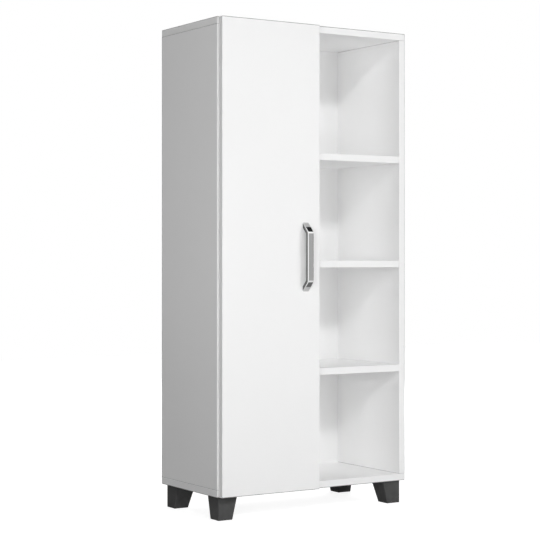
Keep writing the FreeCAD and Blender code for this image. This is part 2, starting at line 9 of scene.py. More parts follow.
import bpy
import numpy as np
from bpy.props import FloatProperty, FloatVectorProperty, PointerProperty
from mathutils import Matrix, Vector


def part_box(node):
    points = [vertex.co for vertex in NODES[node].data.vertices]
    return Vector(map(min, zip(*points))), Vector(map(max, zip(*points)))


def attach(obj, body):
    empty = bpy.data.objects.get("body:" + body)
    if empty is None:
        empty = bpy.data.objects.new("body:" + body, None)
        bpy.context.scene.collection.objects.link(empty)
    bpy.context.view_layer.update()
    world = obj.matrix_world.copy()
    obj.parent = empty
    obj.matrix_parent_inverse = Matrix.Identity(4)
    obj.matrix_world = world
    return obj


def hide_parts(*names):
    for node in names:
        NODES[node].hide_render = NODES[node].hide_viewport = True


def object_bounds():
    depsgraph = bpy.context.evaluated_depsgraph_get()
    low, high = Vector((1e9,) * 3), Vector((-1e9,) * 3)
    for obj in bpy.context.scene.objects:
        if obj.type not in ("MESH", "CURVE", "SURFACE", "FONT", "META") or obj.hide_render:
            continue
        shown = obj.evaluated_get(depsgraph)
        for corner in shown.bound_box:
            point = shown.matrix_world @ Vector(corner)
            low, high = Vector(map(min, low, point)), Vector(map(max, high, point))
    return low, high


bl_info = {
    "name": "Broom cupboard",
    "version": (1, 0, 0),
    "blender": (4, 5, 0),
    "location": "View3D > Sidebar > Cupboard",
    "description": "Finishes, screws and studio for a broom cupboard with an open shelf column",
    "category": "Object",
}

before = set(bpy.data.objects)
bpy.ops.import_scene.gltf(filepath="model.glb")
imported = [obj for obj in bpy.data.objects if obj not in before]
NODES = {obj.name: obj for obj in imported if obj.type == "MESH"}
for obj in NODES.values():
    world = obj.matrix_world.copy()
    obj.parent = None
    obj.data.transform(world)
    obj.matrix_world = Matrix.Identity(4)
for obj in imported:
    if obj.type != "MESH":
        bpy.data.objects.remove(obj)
CAD_BOX = [list(corner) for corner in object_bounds()]
MM = 0.001

# Corner of the carcass that the camera's place is measured from
CARCASS_CORNER = tuple(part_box("bottom_panel")[0])

# The picture's frame, and its lens in pixels of that frame
FRAME_PIXELS = 540.0
LENS_PIXELS = 1547.0
CENTRE_ROW_PIXELS = 258.98
SENSOR_MM = 36.0

# White boards hand light on to each other many times
DIFFUSE_BOUNCES = 10


def linear(hex_colour):
    """A linear RGB colour from an sRGB hex value such as '#F0F0EE'."""
    raw = np.array([int(hex_colour[i:i + 2], 16) for i in (1, 3, 5)]) / 255.0
    return tuple(np.where(raw <= 0.04045, raw / 12.92, ((raw + 0.055) / 1.055) ** 2.4))


def colour(name, description, hex_colour):
    """A colour property with an sRGB default."""
    return FloatVectorProperty(name=name, description=description, subtype="COLOR", size=3,
                               min=0.0, max=1.0, default=linear(hex_colour))


def length(name, description, metres):
    """A length property in metres."""
    return FloatProperty(name=name, description=description, unit="LENGTH", default=metres, precision=5)


def share(name, description, value):
    """A property for a plain share or strength."""
    return FloatProperty(name=name, description=description, subtype="FACTOR", min=0.0, soft_max=1.0,
                         default=value)


def place(name, description, metres):
    """A property for a place in the studio."""
    return FloatVectorProperty(name=name, description=description, subtype="TRANSLATION", unit="LENGTH",
                               default=metres)


def power(name, description, watts):
    """A property for a lamp's power."""
    return FloatProperty(name=name, description=description, unit="POWER", min=0.0, default=watts)


class CupboardFinish(bpy.types.PropertyGroup):
    """Colours and pattern sizes of the cupboard's finishes."""

    board: colour("Board", "White facing of the boards, shelves and door", "#FAFAFA")
    back: colour("Back board", "Painted inner face of the back board", "#FAFAFA")
    back_raw: colour("Raw back", "Bare fibreboard on the back board's wall side", "#A88A67")
    foot: colour("Foot", "Moulded plastic of the feet", "#535353")
    chrome: colour("Handle", "Plating of the handle's front and legs", "#E1E1E1")
    # Painted shade: a darker colour on the handle's flat sides, standing in for dark reflections
    chrome_side_shade: colour("Handle sides", "Darker plating of the handle's flat sides", "#707070")
    hinge: colour("Hinge", "Nickel plating of the hinges", "#C6C4C0")
    zinc: colour("Fasteners", "Zinc plating of screws, bolts and nails", "#BDBFC2")
    beech: colour("Dowel", "Bare beech of the dowels", "#C9A273")
    cap: colour("Cap", "Plastic of the cover caps", "#FAFAFA")
    bumper: colour("Bumper", "Soft plastic of the door bumpers", "#DADAD6")
    edge_band: length("Edge band", "Thickness of the glued edge band on the boards", 1.5 * MM)
    band_seam: length("Band seam", "Width of the glue line beside an edge band", 0.25 * MM)
    seam_tone: share("Seam tone", "Brightness of a glue line against the board", 0.72)
    # Painted shade: a dark line where two boards meet, standing in for the shadow in the groove between
    # them
    joint_shade_line: length("Joint line", "Width of the dark line where two boards meet", 0.9 * MM)
    joint_shade_tone: share("Joint tone", "Brightness of a joint line against the board", 0.4)
    # Painted shade: a darker band along each outer arris, standing in for its shaded rim
    arris_shade_line: length("Arris line", "Width of the scraped band along an outer arris", 2.0 * MM)
    arris_shade_tone: share("Arris tone", "Brightness of a scraped arris against the board", 0.35)
    # Pebble, grain and polish lines are drawn coarser than they are, so that they show
    board_pebble: length("Board pebble", "Size of the pebble pressed into the board's facing", 1.4 * MM)
    foot_grain: length("Foot grain", "Size of the spark-eroded grain on the feet", 0.9 * MM)
    polish_line: length("Polish line", "Width of the lines left by polishing the handle", 0.8 * MM)
    satin_root: length("Satin root", "Reach of the satin on the handle's legs beside the door", 14 * MM)


class CupboardScrews(bpy.types.PropertyGroup):
    """Sizes shared by the cupboard's screws."""

    pitch: length("Thread pitch", "Distance between turns of the thread", 1.6 * MM)
    thread: length("Thread depth", "Height of the thread", 0.35 * MM)
    recess_width: length("Recess width", "Width of a cross recess's arms", 1.0 * MM)
    recess_depth: length("Recess depth", "Depth of a cross recess", 1.1 * MM)


class CupboardStudio(bpy.types.PropertyGroup):
    """Camera, lights, floor, and the room that shiny metal shows."""

    camera_offset: place("Camera", "Camera's place from the carcass's left front lower corner",
                         (-2.3322, -3.9766, 0.7119))
    camera_turn: FloatProperty(name="Camera turn", description="Camera's turn about the vertical",
                               subtype="ANGLE", default=math.radians(-32.35))
    key_place: place("Key light", "Place of the key light", (-3.36, -8.54, 5.83))
    key_size: length("Key size", "Side of the square key light", 1.05)
    key_power: power("Key power", "Power of the key light", 290.0)
    left_place: place("Left light", "Place of the broad light on the left", (-2.8, -2.65, 1.0))
    left_size: length("Left size", "Side of the square left light", 1.5)
    left_power: power("Left power", "Power of the left light", 42.5)
    right_place: place("Right light", "Place of the broad light on the right", (1.4, -3.2, 1.8))
    right_size: length("Right size", "Side of the square right light", 1.5)
    right_power: power("Right power", "Power of the right light", 26.0)
    low_place: place("Low light", "Place of the broad light near the floor", (0.4, -2.7, 0.55))
    low_size: length("Low size", "Side of the square low light", 1.0)
    low_power: power("Low power", "Power of the low light", 14.2)
    rear_place: place("Rear light", "Place of the broad light behind on the right", (2.8, 3.2, 2.4))
    rear_size: length("Rear size", "Side of the square rear light", 1.8)
    rear_power: power("Rear power", "Power of the rear light", 125.0)
    top_place: place("Top light", "Place of the broad light overhead", (0.0, 0.9, 4.2))
    top_size: length("Top size", "Side of the square top light", 1.4)
    top_power: power("Top power", "Power of the top light", 28.0)
    ambient: share("Ambient", "Strength of the soft light from behind", 0.12)
    room: share("Room", "Brightness of the room in front, as shiny metal shows it", 0.5)
    room_left: share("Room on the left", "Brightness of the room on the left, as metal shows it", 1.3)
    soft_box: share("Soft box", "Brightness of the soft light over the room, as metal shows it", 1.3)
    ceiling: share("Ceiling", "Brightness of the ceiling, as metal shows it", 0.03)
    floor_white: share("Floor", "How much light the floor sends back", 0.42)
    floor_glow: share("Floor glow", "White that the floor shows besides its lit colour", 0.87)
    floor_mirrored: share("Mirrored floor", "Brightness of the floor, as shiny metal shows it", 0.18)
    floor_front: share("Mirrored front", "Brightness of the floor in front, as metal shows it", 1.0)
    # Painted shadow: a dim round patch that metal shows on the floor, standing in for the cupboard's shadow
    # there
    shadow_patch_place: place("Dim patch", "Middle of the dim patch that metal shows on the floor",
                       (0.43, -0.2, 0.0))
    shadow_patch_radius: length("Patch radius", "Radius of the dim patch", 0.2)
    shadow_patch_fade: length("Patch fade", "Width of the dim patch's soft rim", 0.15)
    floor_size: length("Floor size", "Side of the square floor", 14.0)


def add(tree, kind, inputs=None, **settings):
    """Add one shader node and return its first live output.

    settings are the node's attributes, and inputs are values or the sockets that feed it."""
    made = tree.nodes.new("ShaderNode" + kind)
    for key, value in settings.items():
        setattr(made, key, value)
    for key, value in (inputs or {}).items():
        if isinstance(value, bpy.types.NodeSocket):
            tree.links.new(value, made.inputs[key])
        else:
            made.inputs[key].default_value = value
    return next((socket for socket in made.outputs if socket.enabled), None)


def new_material(name):
    """An empty material, with its tree and the object's own coordinates."""
    material = bpy.data.materials.new(name)
    material.use_nodes = True
    tree = material.node_tree
    tree.nodes.clear()
    return material, tree, add(tree, "TexCoord").node.outputs["Object"]


def surface(tree, inputs):
    """Finish a material's tree with one Principled surface."""
    add(tree, "OutputMaterial", {"Surface": add(tree, "BsdfPrincipled", inputs)})


def shade(rgb, factor=1.0):
    """A colour made darker or lighter by a factor, with full cover."""
    return (*(min(1.0, channel * factor) for channel in rgb), 1.0)


# Noise mostly lies in this span
NOISE_SPAN = (0.3, 0.7)


def mottle(tree, where, size, low=0.0, high=1.0, detail=2.0, drawn_out=(1.0, 1.0, 1.0)):
    """A value that wanders from low to high in blotches about size metres across.

    drawn_out stretches the blotches along X, Y and Z. The span in which the noise mostly lies is
    opened out."""
    scale = tuple(1.0 / (size * stretch) for stretch in drawn_out)
    mapped = add(tree, "Mapping", {"Vector": where, "Scale": scale})
    noise = add(tree, "TexNoise", {"Vector": mapped, "Scale": 1.0, "Detail": detail})
    return add(tree, "MapRange", {"Value": noise, "From Min": NOISE_SPAN[0], "From Max": NOISE_SPAN[1],
                                  "To Min": low, "To Max": high})


def on_plane(tree, where, node, plane, inset, half_width):
    """1 within half_width of a plane that lies inset inside one side of a node's box, else 0.

    plane is (axis number, "low" or "high")."""
    axis, side = plane
    low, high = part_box(node)
    level = low[axis] + inset if side == "low" else high[axis] - inset
    part = add(tree, "SeparateXYZ", {0: where}).node.outputs[axis]
    return add(tree, "Math", {0: part, 1: level, 2: half_width}, operation="COMPARE")


# Sides of a board's box
LEFT, RIGHT = (0, "low"), (0, "high")
FRONT, REAR = (1, "low"), (1, "high")
FOOT, HEAD = (2, "low"), (2, "high")

# For each board: its banded edges, the ends where it meets another board, which get a line of painted
# shade, and its outer arrises, which get a band of painted shade
BOARDS = {
    "left_side": ([FRONT], [FOOT, HEAD], [(LEFT, REAR)]),
    "right_side": ([FRONT], [FOOT, HEAD], [(RIGHT, FRONT), (RIGHT, REAR)]),
    "divider": ([FRONT], [], []),
    "top_panel": ([FRONT, LEFT, RIGHT], [],
                  [(HEAD, FRONT), (HEAD, LEFT), (HEAD, RIGHT), (RIGHT, FRONT)]),
    "bottom_panel": ([FRONT, LEFT, RIGHT], [],
                     [(FOOT, FRONT), (FOOT, LEFT), (FOOT, RIGHT), (RIGHT, FRONT)]),
    "shelf_upper": ([FRONT], [], []),
    "shelf_middle": ([FRONT], [], []),
    "shelf_lower": ([FRONT], [], []),
    "bay_shelf": ([FRONT], [], []),
    "door_panel": ([LEFT, RIGHT, FOOT, HEAD], [], [(HEAD, FRONT), (FOOT, FRONT)]),
}

# Strength of a plain bump and of a faint one
PLAIN_BUMP = 0.6
FAINT_BUMP = 0.3

# White facing: clouds in its white and in its sheen, and its pebble's relief
CLOUD_SIZE = 250 * MM
CLOUD_TONE = 0.985
SHEEN_SIZE = 60 * MM
BOARD_ROUGHNESS = (0.28, 0.34)
PEBBLE_RELIEF = 0.02 * MM


def faced_board(node, finish):
    """Melamine-faced chipboard: resin paper pressed on with a fine pebble, and glued edge bands.

    To the eye it is an even white with a soft sheen, barely clouded, with a hair line beside each band,
    a line of painted shade where two boards meet, standing in for the shadow in their groove, and a
    greyer band of painted shade along each outer arris, standing in for its shaded rim."""
    bands, joints, arrises = BOARDS[node]
    material, tree, where = new_material("white_melamine_" + node)
    clouds = mottle(tree, where, CLOUD_SIZE)
    white = add(tree, "Mix", {0: clouds, 6: shade(finish.board, CLOUD_TONE), 7: shade(finish.board)},
                data_type="RGBA")
    seam = finish.band_seam / 2
    marks = [(on_plane(tree, where, node, band, finish.edge_band, seam), finish.seam_tone)
             for band in bands]
    # Painted shade: a dark line at each end that meets another board, standing in for the shadow in the
    # groove there
    marks += [(on_plane(tree, where, node, joint, 0.0, finish.joint_shade_line), finish.joint_shade_tone)
              for joint in joints]
    # Painted shade: a darker band along each outer arris, standing in for its shaded rim
    for first, second in arrises:
        both = add(tree, "Math", {0: on_plane(tree, where, node, first, 0.0, finish.arris_shade_line),
                                  1: on_plane(tree, where, node, second, 0.0, finish.arris_shade_line)},
                   operation="MULTIPLY")
        marks.append((both, finish.arris_shade_tone))
    for mark, tone in marks:
        white = add(tree, "Mix", {0: mark, 6: white, 7: shade(finish.board, tone)}, data_type="RGBA")
    pebble = mottle(tree, where, finish.board_pebble)
    surface(tree, {
        "Base Color": white,
        "Metallic": 0.0,
        "Roughness": mottle(tree, where, SHEEN_SIZE, *BOARD_ROUGHNESS),
        "Normal": add(tree, "Bump", {"Height": pebble, "Distance": PEBBLE_RELIEF, "Strength": PLAIN_BUMP}),
    })
    return material


# Bare hardboard: strands and flecks with their tones, and its roughness beside the painted side's
STRAND_WIDTH = 4 * MM
STRAND_STRETCH = (3.0, 1.0, 1.0)
STRAND_TONES = (0.8, 1.1)
STRAND_RELIEF = 0.03 * MM
FLECK_SIZE = 1.5 * MM
FLECK_TONE = 0.92
WALL_SIDE_DEPTH = 1 * MM
PAINTED_ROUGHNESS = 0.5
BARE_ROUGHNESS = 0.8


def back_board(node, finish):
    """Hardboard: painted white inside, bare pressed fibre in short strands on the wall side."""
    material, tree, where = new_material("painted_hardboard")
    clouds = mottle(tree, where, CLOUD_SIZE)
    white = add(tree, "Mix", {0: clouds, 6: shade(finish.back, CLOUD_TONE), 7: shade(finish.back)},
                data_type="RGBA")
    strands = mottle(tree, where, STRAND_WIDTH, detail=4.0, drawn_out=STRAND_STRETCH)
    flecks = mottle(tree, where, FLECK_SIZE, detail=3.0)
    dark, pale = (shade(finish.back_raw, tone) for tone in STRAND_TONES)
    raw = add(tree, "Mix", {0: strands, 6: dark, 7: pale}, data_type="RGBA")
    raw = add(tree, "Mix", {0: flecks, 6: raw, 7: shade(finish.back_raw, FLECK_TONE)}, data_type="RGBA")
    wall_side = on_plane(tree, where, node, REAR, 0.0, WALL_SIDE_DEPTH)
    surface(tree, {
        "Base Color": add(tree, "Mix", {0: wall_side, 6: white, 7: raw}, data_type="RGBA"),
        "Metallic": 0.0,
        "Roughness": add(tree, "MapRange", {"Value": wall_side, "To Min": PAINTED_ROUGHNESS,
                                            "To Max": BARE_ROUGHNESS}),
        "Normal": add(tree, "Bump", {"Height": strands, "Distance": STRAND_RELIEF, "Strength": PLAIN_BUMP}),
    })
    return material


# Feet: blotches and grain, gloss, and the rubbed strip along their lower edges
FOOT_BLOTCH = 20 * MM
FOOT_TONES = (0.92, 1.06)
FOOT_SPECULAR = 0.04
FOOT_ROUGHNESS = (0.44, 0.56)
GRAIN_RELIEF = 0.03 * MM
RUB_HEIGHT = 4 * MM
RUB_SHARE = 0.35
RUB_SIZE = 6 * MM
RUB_TONE = 2.2


def moulded_foot(finish):
    """ABS moulded in a spark-eroded tool: dark grey and dry, with an even grain and rubbed lower edges.

    The grain scatters nearly all of the gloss, so the specular level is far under smooth ABS's."""
    material, tree, where = new_material("moulded_abs")
    grain = mottle(tree, where, finish.foot_grain, detail=3.0)
    darker, paler = (shade(finish.foot, tone) for tone in FOOT_TONES)
    grey = add(tree, "Mix", {0: mottle(tree, where, FOOT_BLOTCH), 6: darker, 7: paler}, data_type="RGBA")
    level = add(tree, "SeparateXYZ", {0: where}).node.outputs[2]
    low_edge = add(tree, "MapRange", {"Value": level, "From Min": 0.0, "From Max": RUB_HEIGHT,
                                      "To Min": RUB_SHARE, "To Max": 0.0})
    rubbed = add(tree, "Math", {0: low_edge, 1: mottle(tree, where, RUB_SIZE)}, operation="MULTIPLY")
    worn = shade(finish.foot, RUB_TONE)
    surface(tree, {
        "Base Color": add(tree, "Mix", {0: rubbed, 6: grey, 7: worn}, data_type="RGBA"),
        "Metallic": 0.0,
        "Specular IOR Level": FOOT_SPECULAR,
        "Roughness": mottle(tree, where, finish.foot_grain, *FOOT_ROUGHNESS),
        "Normal": add(tree, "Bump", {"Height": grain, "Distance": GRAIN_RELIEF, "Strength": PLAIN_BUMP}),
    })
    return material


# Handle: lines drawn out along the bar, their tones and relief, and its mirror and satin roughness
POLISH_STRETCH = (1.0, 1.0, 60.0)
POLISH_TONES = (0.93, 1.02)
POLISH_RELIEF = 0.003 * MM
SIDE_DEPTH = 0.1 * MM
MIRROR_ROUGHNESS = (0.03, 0.05)
SATIN_ROUGHNESS = 0.5


def chrome_plate(node, finish):
    """Die-cast zinc under chrome: polished lengthwise to a near mirror with faint lines along the bar.

    The flat sides are darker: painted shade standing in for dark reflections. The legs' roots, which no
    wheel reaches at the door, stay satin."""
    material, tree, where = new_material("polished_chrome")
    lines = mottle(tree, where, finish.polish_line, drawn_out=POLISH_STRETCH)
    dark, pale = (shade(finish.chrome, tone) for tone in POLISH_TONES)
    bright = add(tree, "Mix", {0: lines, 6: dark, 7: pale}, data_type="RGBA")
    sides = add(tree, "Math", {0: on_plane(tree, where, node, LEFT, 0.0, SIDE_DEPTH),
                               1: on_plane(tree, where, node, RIGHT, 0.0, SIDE_DEPTH)},
                operation="MAXIMUM")
    root = on_plane(tree, where, node, REAR, 0.0, finish.satin_root)
    mirror = mottle(tree, where, finish.polish_line, *MIRROR_ROUGHNESS, drawn_out=POLISH_STRETCH)
    # Painted shade: the flat sides get a darker colour, standing in for dark reflections
    painted_side_shade = shade(finish.chrome_side_shade)
    surface(tree, {
        "Base Color": add(tree, "Mix", {0: sides, 6: bright, 7: painted_side_shade}, data_type="RGBA"),
        "Metallic": 1.0,
        "Roughness": add(tree, "Mix", {0: root, 2: mirror, 3: SATIN_ROUGHNESS}),
        "Normal": add(tree, "Bump", {"Height": lines, "Distance": POLISH_RELIEF, "Strength": FAINT_BUMP}),
    })
    return material


# Plating: tones of its clouds, spread of its roughness in finer clouds, and its pits
PLATING_TONES = (0.93, 1.03)
PLATING_SPREAD = (-0.04, 0.06)
FINE_CLOUD = 0.25
PIT_SIZE = 0.8 * MM
PIT_RELIEF = 0.004 * MM


def plated_steel(name, rgb, roughness, cloud):
    """Pressed steel under bright plating: even metal with slight clouds where the bath took unevenly."""
    material, tree, where = new_material(name)
    clouds = mottle(tree, where, cloud, detail=3.0)
    dark, pale = (shade(rgb, tone) for tone in PLATING_TONES)
    rough_span = [roughness + spread for spread in PLATING_SPREAD]
    surface(tree, {
        "Base Color": add(tree, "Mix", {0: clouds, 6: dark, 7: pale}, data_type="RGBA"),
        "Metallic": 1.0,
        "Roughness": mottle(tree, where, cloud * FINE_CLOUD, *rough_span),
        "Normal": add(tree, "Bump", {"Height": mottle(tree, where, PIT_SIZE), "Distance": PIT_RELIEF,
                                     "Strength": FAINT_BUMP}),
    })
    return material


# Beech: width, stretch, tones and relief of its grain
BEECH_GRAIN = 0.9 * MM
BEECH_STRETCH = (1.0, 1.0, 14.0)
BEECH_TONES = (0.75, 1.08)
BEECH_ROUGHNESS = 0.65
BEECH_RELIEF = 0.05 * MM


def turned_beech(finish):
    """Beech rod: pale pinkish brown with short dark flecks along the grain."""
    material, tree, where = new_material("turned_beech")
    grain = mottle(tree, where, BEECH_GRAIN, detail=3.0, drawn_out=BEECH_STRETCH)
    dark, pale = (shade(finish.beech, tone) for tone in BEECH_TONES)
    surface(tree, {
        "Base Color": add(tree, "Mix", {0: grain, 6: dark, 7: pale}, data_type="RGBA"),
        "Metallic": 0.0,
        "Roughness": BEECH_ROUGHNESS,
        "Normal": add(tree, "Bump", {"Height": grain, "Distance": BEECH_RELIEF, "Strength": PLAIN_BUMP}),
    })
    return material


# Small mouldings: size and relief of their grain, and spread of their roughness
TOOL_GRAIN = 0.7 * MM
TOOL_RELIEF = 0.01 * MM
MOULDING_SPREAD = (-0.04, 0.05)


def moulded_plastic(name, rgb, roughness):
    """Small plastic moulding: even colour with a faint satin grain from its tool."""
    material, tree, where = new_material(name)
    grain = mottle(tree, where, TOOL_GRAIN)
    even = add(tree, "Mix", {0: grain, 6: shade(rgb, CLOUD_TONE), 7: shade(rgb)}, data_type="RGBA")
    rough_span = [roughness + spread for spread in MOULDING_SPREAD]
    surface(tree, {
        "Base Color": even,
        "Metallic": 0.0,
        "Roughness": mottle(tree, where, TOOL_GRAIN, *rough_span),
        "Normal": add(tree, "Bump", {"Height": grain, "Distance": TOOL_RELIEF, "Strength": PLAIN_BUMP}),
    })
    return material


def dress(node, material):
    """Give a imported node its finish."""
    mesh = NODES[node].data
    mesh.materials.clear()
    mesh.materials.append(material)


class CUPBOARD_OT_boards(bpy.types.Operator):
    """Face the boards, the shelves and the door, and finish the back board."""

    bl_idname = "cupboard.boards"
    bl_label = "Boards and door"

    def execute(self, context):
        finish = context.scene.cupboard_finish
        for node in BOARDS:
            dress(node, faced_board(node, finish))
        dress("back_panel", back_board("back_panel", finish))
        return {"FINISHED"}


class CUPBOARD_OT_feet(bpy.types.Operator):
    """Finish the moulded feet."""

    bl_idname = "cupboard.feet"
    bl_label = "Feet"

    def execute(self, context):
        plastic = moulded_foot(context.scene.cupboard_finish)
        for node in NODES:
            if node.startswith("foot_") and node != "foot_screws":
                dress(node, plastic)
        return {"FINISHED"}


class CUPBOARD_OT_handle(bpy.types.Operator):
    """Plate the bow handle."""

    bl_idname = "cupboard.handle"
    bl_label = "Handle"

    def execute(self, context):
        dress("handle", chrome_plate("handle", context.scene.cupboard_finish))
        return {"FINISHED"}


class CUPBOARD_OT_hinges(bpy.types.Operator):
    """Plate the concealed hinges and their pins."""

    bl_idname = "cupboard.hinges"
    bl_label = "Hinges"

    def execute(self, context):
        finish = context.scene.cupboard_finish
        plating = plated_steel("nickel_plated_steel", finish.hinge, roughness=0.24, cloud=12 * MM)
        for node in NODES:
            if node.startswith(("hinge_", "outer_link_", "inner_link_", "arm_pins", "cup_pins")):
                dress(node, plating)
        return {"FINISHED"}


class CUPBOARD_OT_fittings(bpy.types.Operator):
    """Finish the knock-down fittings, nails, shelf pins, caps and bumpers."""

    bl_idname = "cupboard.fittings"
    bl_label = "Fittings"

    def execute(self, context):
        finish = context.scene.cupboard_finish
        zinc = plated_steel("zinc_plated_steel", finish.zinc, roughness=0.32, cloud=8 * MM)
        for node in ("cam_locks", "cam_bolts", "back_nails", "shelf_pins"):
            dress(node, zinc)
        dress("dowels", turned_beech(finish))
        dress("cam_caps", moulded_plastic("white_polyethylene", finish.cap, roughness=0.45))
        dress("door_bumpers", moulded_plastic("soft_polyurethane", finish.bumper, roughness=0.35))
        return {"FINISHED"}


# Points along a screw's cone, shank and dome, and around it
CONE_POINTS = 8
SHANK_POINTS = 60
DOME_POINTS = 26
TURN_POINTS = 40

# Shares of a screw: its cone of the shank, or so many radii if that is shorter, the wall of its head
# under the dome, the plain neck of its shank, and the core that the thread leaves
CONE_SHARE = 0.35
CONE_RADII = 3.0
WALL_SHARE = 0.3
NECK_SHARE = 0.2
CORE_SHARE = 0.35

# Shares of a cross recess: its reach of the head's radius, and the slopes of its arms' sides and ends
REACH_SHARE = 0.62
SIDE_SLOPE = 0.35
END_SLOPE = 0.15

# Least length of a cross product whose two directions aren't parallel
NOT_PARALLEL = 1e-6

# Decimal places, in metres, to which two vertices share a place
PLACE_DIGITS = 6


def screw_outline(head_radius, head, shank_radius, shank):
    """Half outline of a screw as (radius, height over its seat), from its tip to near the head's middle.

    A cone from the tip, a straight shank, a flat under the head, and a dome that is a quarter ellipse.
    The points on the axis itself are left out."""
    cone = np.linspace(0.0, 1.0, CONE_POINTS)[1:]
    tip_length = min(shank * CONE_SHARE, CONE_RADII * shank_radius)
    tip = np.column_stack([shank_radius * cone, -shank + tip_length * cone])
    straight = np.linspace(-shank + tip_length, 0.0, SHANK_POINTS)[1:]
    body = np.column_stack([np.full_like(straight, shank_radius), straight])
    sweep = np.linspace(0.0, math.pi / 2, DOME_POINTS)[:-1]
    wall = WALL_SHARE * head
    dome = np.column_stack([head_radius * np.cos(sweep), wall + (head - wall) * np.sin(sweep)])
    return np.vstack([tip, body, [[head_radius, 0.0]], dome])


def screw_surface(settings, head_radius, head, shank_radius, shank, around=TURN_POINTS):
    """Points, quads and end triangles of one screw along +Z with its seat at z = 0.

    The outline is turned about Z, with one point at the tip and one at the head's middle. On the
    shank the radius falls by a triangle wave of (height / pitch - angle / full turn), which makes the
    thread. In the head, points within the arms of a cross, |x| or |y| under half the arm's width,
    sink by the recess's depth."""
    outline = screw_outline(head_radius, head, shank_radius, shank)
    turn = np.linspace(0.0, 2 * math.pi, around, endpoint=False)
    radius, angle = np.meshgrid(outline[:, 0], turn, indexing="ij")
    height = np.meshgrid(outline[:, 1], turn, indexing="ij")[0]
    phase = np.mod(height / settings.pitch - angle / (2 * math.pi), 1.0)
    groove = settings.thread * np.abs(2 * phase - 1)
    threaded = height < -NECK_SHARE * shank
    radius = np.where(threaded, np.maximum(radius - groove, CORE_SHARE * radius), radius)
    x = radius * np.cos(angle)
    y = radius * np.sin(angle)
    half = settings.recess_width / 2
    reach = REACH_SHARE * head_radius
    arm = np.minimum(np.abs(x), np.abs(y))
    in_arm = np.clip((half - arm) / (SIDE_SLOPE * half) + 0.5, 0, 1)
    cross = in_arm * np.clip((reach - radius) / (END_SLOPE * reach), 0, 1)
    height = np.where(height > WALL_SHARE * head, height - settings.recess_depth * cross, height)
    ends = [[0.0, 0.0, -shank], [0.0, 0.0, head - settings.recess_depth]]
    points = np.vstack([np.stack([x, y, height], axis=-1).reshape(-1, 3), ends])
    rows = len(outline)
    row, column = np.meshgrid(np.arange(rows - 1), np.arange(around), indexing="ij")
    after = (column + 1) % around
    quads = np.stack([row * around + column, row * around + after,
                      (row + 1) * around + after, (row + 1) * around + column], axis=-1).reshape(-1, 4)
    ring = np.arange(around)
    beside = (ring + 1) % around
    top = (rows - 1) * around
    tip_fan = np.stack([beside, ring, np.full(around, rows * around)], axis=-1)
    head_fan = np.stack([top + ring, top + beside, np.full(around, rows * around + 1)], axis=-1)
    return points, quads, np.vstack([tip_fan, head_fan])


def turned_to(points, axis, seat):
    """Screw points turned so that +Z lies along axis, and moved to the seat."""
    axis = np.asarray(axis, float)
    side = np.cross(axis, [0.0, 0.0, 1.0])
    if np.linalg.norm(side) < NOT_PARALLEL:
        side = np.array([1.0, 0.0, 0.0])
    side = side / np.linalg.norm(side)
    other = np.cross(axis, side)
    return points @ np.stack([side, other, axis]) + np.asarray(seat)


def mesh_piece(name, points, faces, material):
    """A mesh object at the origin from points and lists of corners."""
    mesh = bpy.data.meshes.new(name)
    mesh.from_pydata(points.tolist(), [], faces)
    mesh.materials.append(material)
    piece = bpy.data.objects.new(name, mesh)
    bpy.context.scene.collection.objects.link(piece)
    return piece


def loose_parts(node):
    """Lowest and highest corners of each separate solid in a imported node.

    Vertices are joined where they share a place or a triangle, by passing the least index on
    until nothing changes."""
    mesh = NODES[node].data
    places = np.empty(len(mesh.vertices) * 3)
    mesh.vertices.foreach_get("co", places)
    places = places.reshape(-1, 3)
    mesh.calc_loop_triangles()
    corners = np.empty(len(mesh.loop_triangles) * 3, dtype=np.int64)
    mesh.loop_triangles.foreach_get("vertices", corners)
    corners = corners.reshape(-1, 3)
    same = np.unique(np.round(places, PLACE_DIGITS), axis=0, return_inverse=True)[1].reshape(-1)
    triangles = same[corners]
    label = np.arange(same.max() + 1)
    while True:
        least = label[triangles].min(axis=1)
        fresh = label.copy()
        for corner in range(3):
            np.minimum.at(fresh, triangles[:, corner], least)
        fresh = fresh[fresh]
        if np.array_equal(fresh, label):
            break
        label = fresh
    group = label[same]
    solids = [places[group == one] for one in np.unique(group)]
    return [(solid.min(axis=0), solid.max(axis=0)) for solid in solids]


# Screw nodes: way their heads face, body they ride on, head radius, head height and shank radius
SCREW_NODES = {
    "plate_screws": ((1, 0, 0), "carcass", 3.4 * MM, 1.8 * MM, 1.75 * MM),
    "arm_screws": ((1, 0, 0), "carcass", 3.2 * MM, 1.6 * MM, 2.0 * MM),
    "cup_screws": ((0, 1, 0), "door", 3.4 * MM, 1.8 * MM, 1.75 * MM),
    "handle_screws": ((0, 1, 0), "door", 4.0 * MM, 2.4 * MM, 2.0 * MM),
    "foot_screws": ((0, 0, -1), "carcass", 4.6 * MM, 3.4 * MM, 2.25 * MM),
}


